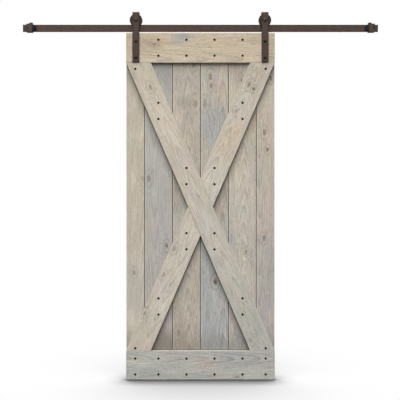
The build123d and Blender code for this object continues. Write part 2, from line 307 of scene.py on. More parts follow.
@dataclass(frozen=True)
class Knot:
    """A knot, placed by shares of its board's length and width, with its radius in metres."""

    along: float
    across: float
    size: float
    heart: Wash = Wash.BARK
    strength: float = 0.6


@dataclass(frozen=True)
class Patch:
    """A cloud of another wash, placed by shares of the board, with half sizes in metres."""

    along: float
    across: float
    half_length: float
    half_width: float
    wash: Wash
    strength: float = 0.7


@dataclass(frozen=True)
class BoardFinish:
    """One board's wash and grain.

    Pith places are in metres from the middle of the face, and figure is how strongly the grain shows.
    """

    head: Wash
    foot: Wash
    cloud: Wash
    seed: float
    pith_across: float = 0.0
    pith_depth: float = 0.09
    ring_pitch: float = 0.0055
    taper: float = 0.012
    grime: float = 0.25
    knots: tuple[Knot, ...] = ()
    patches: tuple[Patch, ...] = ()
    figure: float = 1.0


@dataclass(frozen=True)
class Ledge:
    """An edge of a board on the planks: a point of it, the way out from it, and how far the shade painted
    beside it reaches.
    """

    point: Vector
    away: Vector
    reach: float


@dataclass(frozen=True)
class Board:
    """A board's place on the leaf: the middle of its face, its turn about Y, and its size.

    Seams are the places across it of the joints between planks, ledges the edges beside which shade is
    painted on the planks, and the last field is the side of the upper edge on which a highlight is painted.
    """

    centre: Vector
    turn: float
    length: float
    width: float
    seams: tuple[float, ...] = ()
    ledges: tuple[Ledge, ...] = ()
    lit_edge: float = 0.0

    def local(self, place: Vector) -> Vector:
        """Measure a place from the middle of the board's face.

        Args:
            place: The place in the part's frame.

        Returns:
            How far it lies across, into and along the board.
        """
        offset = place - self.centre
        across = offset.x * math.cos(self.turn) + offset.z * math.sin(self.turn)
        along = offset.z * math.cos(self.turn) - offset.x * math.sin(self.turn)
        return Vector((across, offset.y, along))


class WoodShader:
    """Solid wood of one board: grain that bends round its knots, a cloudy wash, and painted highlights and
    shade at its edges.

    Reaches and depths are in metres, or in knot sizes for a knot. A tone is the most that one colour covers
    another, and a pair of values is where a change starts and ends.
    """

    bump_depth = 0.6 * MM
    roughness = (0.82, 0.66)
    specular = 0.15
    front_depths = (4.0 * MM, 2.0 * MM)

    # Grain
    bend = Texture(1.6, 1.0)
    bend_shape = (0.3, 0.3, 1.0)
    wander = 14.0 * MM
    flow_stretch = 0.055
    broad = Texture(45.0, 2.0, swing=0.16)
    streak = Texture(150.0, 3.0, swing=0.42, relief=0.15)
    fine = Texture(480.0, 2.0, swing=0.4, relief=0.35)
    fibre = Texture(1500.0, 2.0, stretch=0.04, swing=0.2, relief=0.45)
    fleck = Texture(130.0, 3.0, 0.65, 0.4, swing=0.34)
    mean_tone = 1.06
    ring_waver = 0.6
    ring_power = 3.0
    ring_close = 0.88
    ring_swing = -0.34
    ring_relief = -0.35
    check = Texture(420.0, 1.0, stretch=0.06)
    check_levels = (0.66, 0.74)
    check_swing = -0.3
    check_relief = -0.5

    # Knots
    knot_shape = (1.0, 0.0, 0.55)
    uneven = Texture(120.0, 3.0, 0.7, 0.6)
    unevenness = 1.1
    swirl_reaches = (3.6, 0.4)
    swirl_push = 1.5
    halo_reaches = (3.6, 1.0)
    halo_tone = 0.3
    rim_place = 2.3
    rim_reaches = (0.4, 0.0)
    rim_tone = 0.6
    heart_reaches = (1.3, 0.5)
    heart_tone = 0.9
    pit = Texture(210.0, 2.0, stretch=0.4)
    pit_reaches = (1.5, 0.2)
    pit_levels = (0.47, 0.6)

    # Wash
    cloud = Texture(7.0, 3.0, stretch=0.32)
    mottle = Texture(24.0, 3.0, stretch=0.32)
    mottle_levels = (0.46, 0.70)
    mottle_tone = 0.75
    tint = Texture(14.0, 2.0, stretch=0.32)
    tint_swing = (0.14, 0.09, 0.16)
    tint_base = (0.93, 0.955, 0.92)
    change_share = 0.3
    change_waver_share = 0.35
    ragged = Texture(60.0, 3.0, stretch=0.1)
    patch_waver = 0.5
    patch_rim = (1.15, 0.25)

    # Edges, seams, grime and stains, and painted highlights and shade
    frayed = Texture(40.0, 3.0)
    fray = 0.8 * MM
    grime_reach = 3.0 * MM
    # A painted highlight along the upper edge of a board, the edge that faces the light.
    lit_edge_reach = 6.0 * MM
    lit_edge_rise = 4.2 * MM
    lit_edge_tone = 0.35
    seam_reach = 2.3 * MM
    seam_tone = 0.92
    # A painted highlight: a light line on the right of each seam.
    seam_highlight_rise = (0.8 * seam_reach, 2.0 * seam_reach)
    seam_highlight_fall = (6.0 * seam_reach, 2.0 * seam_reach)
    seam_highlight_tone = 0.25
    # Painted shade on the side faces, darker deeper in, near the joints between planks and more faintly on
    # the other boards' sides.
    joint_reaches = (18.0 * MM, 9.0 * MM)
    open_joint = 0.3
    side_slopes = (0.6, 0.9)
    groove_shade_depths = (1.0 * MM, 9.0 * MM)
    groove_shade_tones = (0.45, 0.9)
    end_slopes = (0.5, 0.9)
    end_tone = 0.35
    # Painted shade on the planks beside the boards: a dark line, and a broad fainter band.
    ledge_shade_reach = 7.0 * MM
    ledge_shade_tone = 0.55
    ledge_broad_shade_tone = 0.3
    cover_reaches = (-21.0 * MM, -7.0 * MM)
    stain_reaches = (9.0 * MM, 6.75 * MM)
    stain_tone = 0.9

    def __init__(self, name: str, board: Board, finish: BoardFinish) -> None:
        """Set up the board's own directions.

        Args:
            name: The material's name.
            board: Where the board is.
            finish: How it looks.
        """
        self.board = board
        self.look = finish
        self.graph = Graph(bpy.data.materials.new(name))
        self.local = self.turned(self.graph.vector("SUBTRACT", self.graph.place(), tuple(board.centre)))
        self.across, self.deep, self.along = self.graph.parts(self.local)
        self.seeded = self.graph.vector("ADD", self.local, (finish.seed, finish.seed, finish.seed))
        self.front = self.graph.smooth(self.deep, *self.front_depths)

    def turned(self, vector: Socket) -> Socket:
        """Return a vector turned so that the board's length runs along Z."""
        inputs = {"Vector": vector, "Angle": self.board.turn}
        return self.graph.add("ShaderNodeVectorRotate", inputs, rotation_type="Y_AXIS").outputs[0]

    def drawn_out(self, texture: Texture) -> Socket:
        """Return the board's own place with a texture's stretch along the board."""
        return self.graph.vector("MULTIPLY", self.seeded, (1.0, 1.0, texture.stretch))

    def level(self, texture: Texture) -> Socket:
        """Return a texture's level, stretched along the board."""
        return self.graph.noise(self.drawn_out(texture), texture)

    def near(self, knot: Knot, away: Socket, reaches: tuple[float, float], tone: float) -> Socket:
        """Work out how much of a knot's colour shows.

        Args:
            knot: The knot.
            away: The distance from it.
            reaches: Where the colour starts and where it is full, in knot sizes.
            tone: Its full share on a knot of strength 1.

        Returns:
            The colour's share.
        """
        start, end = (reach * knot.size for reach in reaches)
        return self.graph.smooth(away, start, end, 0.0, tone * knot.strength)

    def distance(self, along: float, across: float, shape: Triple) -> Socket:
        """Measure how far the surface point is from a spot on the board.

        Args:
            along: The spot's share of the length.
            across: The spot's share of the width.
            shape: How much each direction counts.

        Returns:
            The weighted distance.
        """
        spot = ((across - 0.5) * self.board.width, 0.0, (along - 0.5) * self.board.length)
        return self.graph.vector("LENGTH", self.graph.vector(
            "MULTIPLY", self.graph.vector("SUBTRACT", self.local, spot), shape))

    def rings(self) -> tuple[Socket, Socket, list[tuple[Knot, Socket]]]:
        """Work out how the grain runs: round the pith, and bent aside by the knots.

        Returns:
            The distance from the pith, the place across the straight grain, and each knot's distance.
        """
        graph, look = self.graph, self.look
        slow = graph.noise(graph.vector("MULTIPLY", self.seeded, self.bend_shape), self.bend)
        straight = graph.total(self.across, graph.swing(slow, self.wander))
        aside = graph.math("SUBTRACT", straight, look.pith_across)
        below = graph.math("SUBTRACT", self.deep, look.pith_depth)
        radius = graph.vector("LENGTH", graph.join(aside, below, 0.0))
        field = graph.math("MULTIPLY_ADD", self.along, look.taper, radius)
        uneven = self.level(self.uneven)
        start, end = self.swirl_reaches
        knots = []
        for knot in look.knots:
            away = self.distance(knot.along, knot.across, self.knot_shape)
            away = graph.total(away, graph.swing(uneven, self.unevenness * knot.size))
            swirl = graph.smooth(away, start * knot.size, end * knot.size, 0.0, self.swirl_push * knot.size)
            field = graph.total(field, swirl)
            straight = graph.total(straight, swirl)
            knots.append((knot, away))
        return field, straight, knots

    def grain(self, field: Socket, straight: Socket) -> tuple[Socket, Socket]:
        """Draw rings about the pith, and streaks and fibres along the board.

        Args:
            field: The distance from the pith.
            straight: The place across the straight grain.

        Returns:
            The tone that the wash is multiplied by, and the height for the bump.
        """
        graph, look = self.graph, self.look
        lengthwise = graph.product(self.along, self.flow_stretch)
        flow = graph.join(straight, look.seed, lengthwise)
        broad = graph.noise(graph.join(field, look.seed, lengthwise), self.broad)
        layers = (
            (self.broad, broad),
            (self.streak, graph.noise(flow, self.streak)),
            (self.fine, graph.noise(flow, self.fine)),
            (self.fibre, self.level(self.fibre)),
            (self.fleck, self.level(self.fleck)),
        )
        waver = graph.swing(broad, self.ring_waver)
        share = graph.math("FRACT", graph.total(graph.math("DIVIDE", field, look.ring_pitch), waver))
        ring = graph.product(
            graph.math("POWER", share, self.ring_power), graph.smooth(share, 1.0, self.ring_close))
        hairline = graph.join(straight, look.seed, graph.product(self.along, self.check.stretch))
        check = graph.smooth(graph.noise(hairline, self.check), *self.check_levels)
        marks = graph.total(
            *(graph.swing(level, layer.swing) for layer, level in layers),
            graph.product(ring, self.ring_swing), graph.product(check, self.check_swing))
        tone = graph.math("MULTIPLY_ADD", marks, look.figure, self.mean_tone)
        height = graph.total(
            graph.product(ring, self.ring_relief), graph.product(check, self.check_relief),
            *(graph.product(level, layer.relief) for layer, level in layers if layer.relief))
        return tone, height

    def wash(self) -> Socket:
        """Wash the board, before grain and knots.

        Returns:
            The cloudy colour of the wash.
        """
        graph, look, length = self.graph, self.look, self.board.length
        cloud, mottle, ragged = (self.level(texture) for texture in (self.cloud, self.mottle, self.ragged))
        rise = graph.total(self.along, graph.swing(cloud, self.change_waver_share * length))
        reach = self.change_share * length
        colour = graph.mix(graph.smooth(rise, -reach, reach), look.foot.value, look.head.value)
        clouded = graph.smooth(mottle, *self.mottle_levels, 0.0, self.mottle_tone)
        colour = graph.mix(clouded, colour, look.cloud.value)
        waver = graph.total(graph.swing(mottle, self.patch_waver), graph.swing(ragged, self.patch_waver))
        for patch in look.patches:
            shape = (1.0 / patch.half_width, 0.0, 1.0 / patch.half_length)
            away = graph.total(self.distance(patch.along, patch.across, shape), waver)
            cover = graph.smooth(away, *self.patch_rim, 0.0, patch.strength)
            colour = graph.mix(cover, colour, patch.wash.value)
        tint = graph.clouds(self.drawn_out(self.tint), self.tint).outputs[1]
        tint = graph.vector("MULTIPLY_ADD", tint, self.tint_swing, self.tint_base)
        return graph.vector("MULTIPLY", colour, tint)

    def edges(self, colour: Socket) -> Socket:
        """Darken the seams, the long edges and the end grain, stain round the screws, paint highlights on
        the upper edge and beside each seam, and paint shade beside the boards above and deep on the sides of
        the joints.

        Args:
            colour: The colour so far.

        Returns:
            The colour with its edges.
        """
        graph, board = self.graph, self.board
        ragged = graph.swing(self.level(self.frayed), self.fray)
        inward = graph.math("SUBTRACT", board.width / 2, graph.math("ABSOLUTE", self.across))
        rim = graph.smooth(graph.total(inward, ragged), self.grime_reach, 0.0, 0.0, self.look.grime)
        colour = graph.mix(rim, colour, Wash.BARK.value)
        # Painted highlight: the upper long edge is lightened where light would catch it.
        if board.lit_edge:
            outer = graph.math("MULTIPLY_ADD", self.across, board.lit_edge, ragged)
            start = board.width / 2 - self.lit_edge_reach
            lit_edge = graph.smooth(outer, start, start + self.lit_edge_rise, 0.0, self.lit_edge_tone)
            colour = graph.mix(lit_edge, colour, Wash.CHALK.value)
        joint = 0.0 if board.seams else self.open_joint
        for seam in board.seams:
            past = graph.math("SUBTRACT", self.across, seam)
            # Painted highlight: a light line beside the seam, where the next plank's edge would catch the
            # light.
            seam_highlight = graph.product(
                graph.smooth(past, *self.seam_highlight_rise), graph.smooth(past, *self.seam_highlight_fall, 0.0, self.seam_highlight_tone))
            colour = graph.mix(seam_highlight, colour, Wash.CHALK.value)
            close = graph.total(graph.math("ABSOLUTE", past), ragged)
            joint = graph.total(graph.smooth(close, *self.joint_reaches), joint)
            line = graph.smooth(close, self.seam_reach, self.seam_reach / 2, 0.0, self.seam_tone)
            colour = graph.mix(line, colour, Wash.SOOT.value)
        # Painted shade beside the boards that lie on a plank, then stains round the screws.
        colour = self.stained(self.shade_along_ledges(colour))
        # Painted shade: side faces darken with depth, near the joints and on the boards' sides.
        normal = graph.parts(self.turned(graph.add("ShaderNodeTexCoord").outputs["Normal"]))
        side = graph.smooth(graph.math("ABSOLUTE", normal[0]), *self.side_slopes)
        corner = graph.smooth(graph.total(self.deep, ragged), *self.groove_shade_depths, *self.groove_shade_tones)
        colour = graph.mix(graph.product(side, corner, joint), colour, Wash.SOOT.value)
        end = graph.smooth(graph.math("ABSOLUTE", normal[2]), *self.end_slopes, 0.0, self.end_tone)
        return graph.mix(end, colour, Wash.BARK.value)

    def shade_along_ledges(self, colour: Socket) -> Socket:
        """Paint shade on a plank beside the boards that lie on it: a dark line along each edge and a broad
        fainter band.

        Args:
            colour: The colour so far.

        Returns:
            The colour with its painted shade.
        """
        graph = self.graph
        for ledge in self.board.ledges:
            offset = graph.vector("SUBTRACT", graph.place(), tuple(ledge.point))
            out = graph.vector("DOT_PRODUCT", offset, tuple(ledge.away))
            # Painted shade, kept to the planks' front faces and faded out under the board itself.
            ledge_shade = graph.total(graph.smooth(out, self.ledge_shade_reach, 0.0, 0.0, self.ledge_shade_tone),
                               graph.smooth(out, ledge.reach, 0.0, 0.0, self.ledge_broad_shade_tone))
            clear = graph.smooth(out, *self.cover_reaches)
            colour = graph.mix(graph.product(ledge_shade, clear, self.front), colour, Wash.SOOT.value)
        return colour

    def stained(self, colour: Socket) -> Socket:
        """Stain the wood close round each screw.

        Args:
            colour: The colour so far.

        Returns:
            The colour with its stains.
        """
        graph, board = self.graph, self.board
        spots = [board.local(place) for place in middles("board_screws")]
        spots = [spot for spot in spots if abs(spot.x) < board.width / 2 and abs(spot.z) < board.length / 2]
        if board.seams or not spots:
            return colour
        nearest = board.length
        for spot in spots:
            away = graph.vector("LENGTH", graph.vector("SUBTRACT", self.local, (spot.x, 0.0, spot.z)))
            nearest = graph.math("MINIMUM", away, nearest)
        stain = graph.smooth(nearest, *self.stain_reaches, 0.0, self.stain_tone)
        return graph.mix(stain, colour, Wash.SOOT.value)

    def knotted(self, colour: Socket, knots: Sequence[tuple[Knot, Socket]]) -> Socket:
        """Set the knots into the colour: a tinted halo, a thin ring, a brown heart and dark pits.

        Args:
            colour: The colour so far.
            knots: Each knot with its distance from the surface point.

        Returns:
            The colour with its knots.
        """
        graph = self.graph
        pitted = graph.smooth(self.level(self.pit), *self.pit_levels)
        for knot, away in knots:
            halo = self.near(knot, away, self.halo_reaches, self.halo_tone)
            colour = graph.mix(halo, colour, Wash.CLAY.value)
            beside = graph.math("ABSOLUTE", graph.math("SUBTRACT", away, self.rim_place * knot.size))
            rim = self.near(knot, beside, self.rim_reaches, self.rim_tone)
            colour = graph.mix(rim, colour, Wash.BARK.value)
            heart = self.near(knot, away, self.heart_reaches, self.heart_tone)
            colour = graph.mix(heart, colour, knot.heart.value)
            pits = graph.product(self.near(knot, away, self.pit_reaches, 1.0), pitted)
            colour = graph.mix(pits, colour, Wash.SOOT.value)
        return colour

    def material(self) -> bpy.types.Material:
        """Put the wash, grain, knots and edges together.

        Returns:
            The board's finished material.
        """
        graph = self.graph
        field, straight, knots = self.rings()
        tone, height = self.grain(field, straight)
        colour = self.knotted(graph.scaled(self.wash(), tone), knots)
        return graph.finish(
            Base_Color=self.edges(colour),
            Roughness=graph.smooth(height, 0.0, 1.0, *self.roughness),
            Specular_IOR_Level=self.specular,
            Normal=graph.bump(height, self.bump_depth),
        )


@dataclass(frozen=True)
class MetalFinish:
    """A metal's two close tones, its sheen, and the scale and depth of its surface texture.

    Shade is painted along a piece's outline, and in a ring round the rim of a bolt's head.
    """

    light: Colour
    dark: Colour
    roughness: float
    metallic: float = 0.0
    specular: float = 0.2
    mottle_scale: float = 55.0
    peel_scale: float = 1300.0
    peel_depth: float = 0.08 * MM
    stretch: Triple = (1.0, 1.0, 1.0)
    peel_swing: ClassVar[float] = 0.15
    tone_levels: ClassVar[tuple[float, float]] = (0.3, 0.7)
    sheen_levels: ClassVar[tuple[float, float]] = (0.25, 0.75)
    sheen_swing: ClassVar[float] = 0.07
    # Painted shade along a piece's edges: how far in it reaches and how dark it gets.
    edge_shade_reach: ClassVar[float] = 8.5 * MM
    rim_tone: ClassVar[float] = 0.45
    # A ring of painted shade round a bolt head's rim: its reach and how dark it gets.
    head_shade_reach: ClassVar[float] = 3.8 * MM
    head_shade_tone: ClassVar[float] = 0.2

    def material(self, name: str, shaded_edges: Sequence[tuple[int, float, float]] = (),
                 rings: Sequence[tuple[Vector, float]] = ()) -> bpy.types.Material:
        """Make the metal's material.

        Args:
            name: The material's name.
            shaded_edges: Each axis along which shade is painted at both edges, with the lowest and highest
                place on it.
            rings: The middle and radius of each ring of painted shade on the front.

        Returns:
            The finished material.
        """
        graph = Graph(bpy.data.materials.new(name))
        place = graph.vector("MULTIPLY", graph.place(), self.stretch)
        mottle = graph.noise(place, Texture(self.mottle_scale, detail=4.0, roughness=0.6))
        peel = graph.noise(place, Texture(self.peel_scale, detail=2.0))
        share = graph.total(mottle, graph.swing(peel, self.peel_swing))
        colour = graph.mix(graph.smooth(share, *self.tone_levels), self.dark, self.light)
        # Painted shade: darker towards both edges along each listed axis.
        for axis, low, high in shaded_edges:
            offset = graph.math("SUBTRACT", graph.parts(graph.place())[axis], (low + high) / 2)
            inward = graph.math("SUBTRACT", (high - low) / 2, graph.math("ABSOLUTE", offset))
            colour = graph.scaled(colour, graph.smooth(inward, 0.0, self.edge_shade_reach, self.rim_tone, 1.0))
        # Painted shade: a dark ring round each bolt head's rim, on the head and on the strap about it.
        for middle, radius in rings:
            offset = graph.vector("SUBTRACT", graph.place(), tuple(middle))
            away = graph.vector("LENGTH", graph.vector("MULTIPLY", offset, FRONTAL))
            beside = graph.math("ABSOLUTE", graph.math("SUBTRACT", away, radius))
            colour = graph.scaled(colour, graph.smooth(beside, 0.0, self.head_shade_reach, self.head_shade_tone, 1.0))
        sheen = (self.roughness - self.sheen_swing, self.roughness + self.sheen_swing)
        return graph.finish(
            Base_Color=colour,
            Metallic=self.metallic,
            Specular_IOR_Level=self.specular,
            Roughness=graph.smooth(mottle, *self.sheen_levels, *sheen),
            Normal=graph.bump(peel, self.peel_depth),
        )


BRONZE = MetalFinish(light=(0.069, 0.043, 0.031), dark=(0.049, 0.030, 0.021), roughness=0.48)
WHEEL_BRONZE = MetalFinish(light=(0.036, 0.024, 0.019), dark=(0.022, 0.015, 0.012), roughness=0.40)
BOLT_BRONZE = MetalFinish(
    light=(0.016, 0.011, 0.009), dark=(0.009, 0.007, 0.006), roughness=0.36, specular=0.12,
    peel_depth=0.04 * MM)
BLACKED = MetalFinish(
    light=(0.007, 0.006, 0.006), dark=(0.003, 0.003, 0.003), roughness=0.45, specular=0.1,
    mottle_scale=200.0, peel_scale=1800.0, peel_depth=0.05 * MM)
GROUND_STEEL = MetalFinish(
    light=(0.62, 0.62, 0.61), dark=(0.5, 0.5, 0.5), roughness=0.28, metallic=1.0, specular=0.5,
    mottle_scale=60.0, peel_scale=900.0, peel_depth=0.03 * MM, stretch=(1.0, 6.0, 1.0))


@dataclass(frozen=True)
class RubberFinish:
    """Matt moulded rubber with a dusty bloom."""

    black: Colour = (0.007, 0.007, 0.007)
    bloom: Colour = (0.017, 0.016, 0.016)
    dust: Texture = Texture(120.0, 4.0, 0.65)
    bloom_levels: tuple[float, float] = (0.4, 0.75)
    sheen_levels: tuple[float, float] = (0.3, 0.7)
    roughness: tuple[float, float] = (0.72, 0.88)
    specular: float = 0.15
    grit: Texture = Texture(2200.0, 2.0)
    grit_depth: float = 0.12 * MM

    def material(self, name: str) -> bpy.types.Material:
        """Make the rubber's material.

        Args:
            name: The material's name.

        Returns:
            The finished material.
        """
        graph = Graph(bpy.data.materials.new(name))
        dust = graph.noise(graph.place(), self.dust)
        return graph.finish(
            Base_Color=graph.mix(graph.smooth(dust, *self.bloom_levels), self.black, self.bloom),
            Specular_IOR_Level=self.specular,
            Roughness=graph.smooth(dust, *self.sheen_levels, *self.roughness),
            Normal=graph.bump(graph.noise(graph.place(), self.grit), self.grit_depth),
        )


class Slot(Enum):
    """The record's material slots for the bronze hardware and the black screws."""

    BRONZE = "bronze_hardware"
    BLACK = "black_screw"


@dataclass(frozen=True)
class Thread:
    """A helical thread by its root and crest radii, its pitch and the half width of its crest in pitches."""

    root: float
    crest: float
    pitch: float
    half_crest: float = 0.5
    steps: int = 8

    def ring(self, height: float, taper: float = 1.0) -> Ring:
        """Return the thread's outline at one height.

        Args:
            height: The height along the axis.
            taper: How far the outline is drawn in towards the axis.

        Returns:
            The ring.
        """
        def radius(angle: float) -> float:
            """Return the radius at an angle."""
            phase = (height / self.pitch + angle / math.tau) % 1.0
            ridge = max(0.0, 1.0 - abs(phase - 0.5) / self.half_crest)
            return taper * (self.root + (self.crest - self.root) * ridge)
        return radius, height

    def rings(self, start: float, end: float, last_taper: float = 1.0) -> list[Ring]:
        """Run the thread between two heights.

        Args:
            start: The height where it starts.
            end: The height where it ends.
            last_taper: How far it is drawn in towards the axis at the end.

        Returns:
            The rings, drawn in evenly.
        """
        count = max(1, round(abs(end - start) / self.pitch * self.steps))
        shares = [step / count for step in range(count + 1)]
        return [self.ring(start + (end - start) * share, 1.0 + (last_taper - 1.0) * share)
                for share in shares]


def hexagon(half_flats: float, limit: float = math.inf) -> Callable[[float], float]:
    """Return a hexagon's radius as a function of the angle.

    Args:
        half_flats: The distance from the middle to a flat.
        limit: The largest radius, where a chamfer cuts the corners.

    Returns:
        The function.
    """
    return lambda angle: min(limit, half_flats / math.cos(angle % (math.pi / 3) - math.pi / 6))


def six_lobes(mean: float) -> Callable[[float], float]:
    """Return a six-lobed recess's radius as a function of the angle."""
    return lambda angle: mean * (1.0 + LOBE_DEPTH * math.cos(LOBES * angle))


def domed_head(radius: float, dome: float, rim: float) -> list[Ring]:
    """Return the rings of a domed head from its middle to the back of its rim.

    Args:
        radius: The head's radius.
        dome: The height of the dome over the rim.
        rim: The height of the rim.

    Returns:
        The rings.
    """
    ball = (radius**2 + dome**2) / (2.0 * dome)
    steps = [radius * math.sin(math.pi / 2 * step / DOME_STEPS) for step in range(DOME_STEPS + 1)]
    rings = [(step, math.sqrt(ball**2 - step**2) - ball) for step in steps]
    return [*rings, (radius, -dome - rim)]


@dataclass(frozen=True)
class Turned:
    """A piece lofted through rings about an axis that points forwards, with heights from its front plane."""

    rings: Sequence[Ring]
    bored: bool = False
    sides: int = 36

    def mesh(self, name: str, places: Sequence[Vector]) -> bpy.types.Mesh:
        """Make one mesh with the piece at each place.

        Args:
            name: The mesh's name.
            places: Where the middle of each front plane is.

        Returns:
            The mesh, smooth but for its sharp edges.
        """
        points: list[Triple] = []
        faces: list[tuple[int, ...]] = []
        for place in places:
            loops = [self.loop(ring, place, points) for ring in self.rings]
            followers = loops[1:] + loops[:1] if self.bored else loops[1:]
            for inner, outer in zip(loops, followers):
                for step in range(self.sides):
                    here, there = step, step + 1
                    corners = (inner[here % len(inner)], outer[here % len(outer)],
                               outer[there % len(outer)], inner[there % len(inner)])
                    faces.append(tuple(dict.fromkeys(corners)))
        mesh = bpy.data.meshes.new(name)
        mesh.from_pydata(points, [], faces)
        mesh.shade_smooth()
        mesh.set_sharp_from_angle(angle=SHARP_ANGLE)
        return mesh

    def loop(self, ring: Ring, place: Vector, points: list[Triple]) -> list[int]:
        """Add a ring's points.

        Args:
            ring: The ring.
            place: Where the middle of the front plane is.
            points: The points so far, which the ring's are added to.

        Returns:
            The added points' numbers.
        """
        radius, height = ring
        first = len(points)
        for step in range(1 if radius == 0.0 else self.sides):
            angle = math.tau * step / self.sides
            reach = radius(angle) if callable(radius) else radius
            x, z = place.x + reach * math.cos(angle), place.z + reach * math.sin(angle)
            points.append((x, place.y - height, z))
        return list(range(first, len(points)))


def middles(node: str) -> list[Vector]:
    """Find where the like solids of one node stand, each narrower than the space between two screws.

    Args:
        node: The node's name.

    Returns:
        The middle of each solid's outline, on the node's front plane.
    """
    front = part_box(node)[0].y
    groups: list[list[Vector]] = []
    for vertex in frame["nodes"][node].data.vertices:
        spot = Vector((vertex.co.x, front, vertex.co.z))
        near = next((group for group in groups if (group[0] - spot).length < SCREW_SPACE), None)
        if near is None:
            groups.append([spot])
        else:
            near.append(spot)
    spans = [([spot.x for spot in group], [spot.z for spot in group]) for group in groups]
    return [Vector(((min(xs) + max(xs)) / 2, front, (min(zs) + max(zs)) / 2)) for xs, zs in spans]


def fit(name: str, shape: Turned, node: str, body: str, material: bpy.types.Material) -> None:
    """Put a finer piece wherever a plain solid of a node stands, and let it stand for the node.

    Args:
        name: The new piece's name.
        shape: Its form.
        node: The node that it stands for.
        body: The body that it moves with.
        material: Its finish.
    """
    places = middles(node)
    mesh = shape.mesh(name, places)
    mesh.materials.append(material)
    piece = bpy.data.objects.new(name, mesh)
    bpy.context.scene.collection.objects.link(piece)
    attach(piece, body)
    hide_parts(node)
    LOG.info("made %s: %d on %s", name, len(places), body)


def outline(node: str) -> list[tuple[int, float, float]]:
    """Return the axes and ends of a solid's outline as seen from the front, for the shade painted along its
    edges.
    """
    low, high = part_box(node)
    return [(0, low.x, high.x), (2, low.z, high.z)]


def dress(node: str, material: bpy.types.Material, bevel: float = 0.0) -> None:
    """Give a solid from the frame its material and, where asked, softly rounded edges.

    Args:
        node: The solid's name.
        material: Its finish.
        bevel: The width of the rounded edges in metres.
    """
    solid = frame["nodes"][node]
    solid.material_slots[0].material = material
    if bevel:
        weld = solid.modifiers.new("weld", "WELD")
        weld.merge_threshold = WELD_DISTANCE
        rounding = solid.modifiers.new("rounded_edges", "BEVEL")
        rounding.width = bevel
        rounding.segments = ROUND_STEPS
        rounding.limit_method = "ANGLE"
        rounding.angle_limit = ROUND_ANGLE
        rounding.harden_normals = True
    LOG.info("dressed %s in %s", node, material.name)


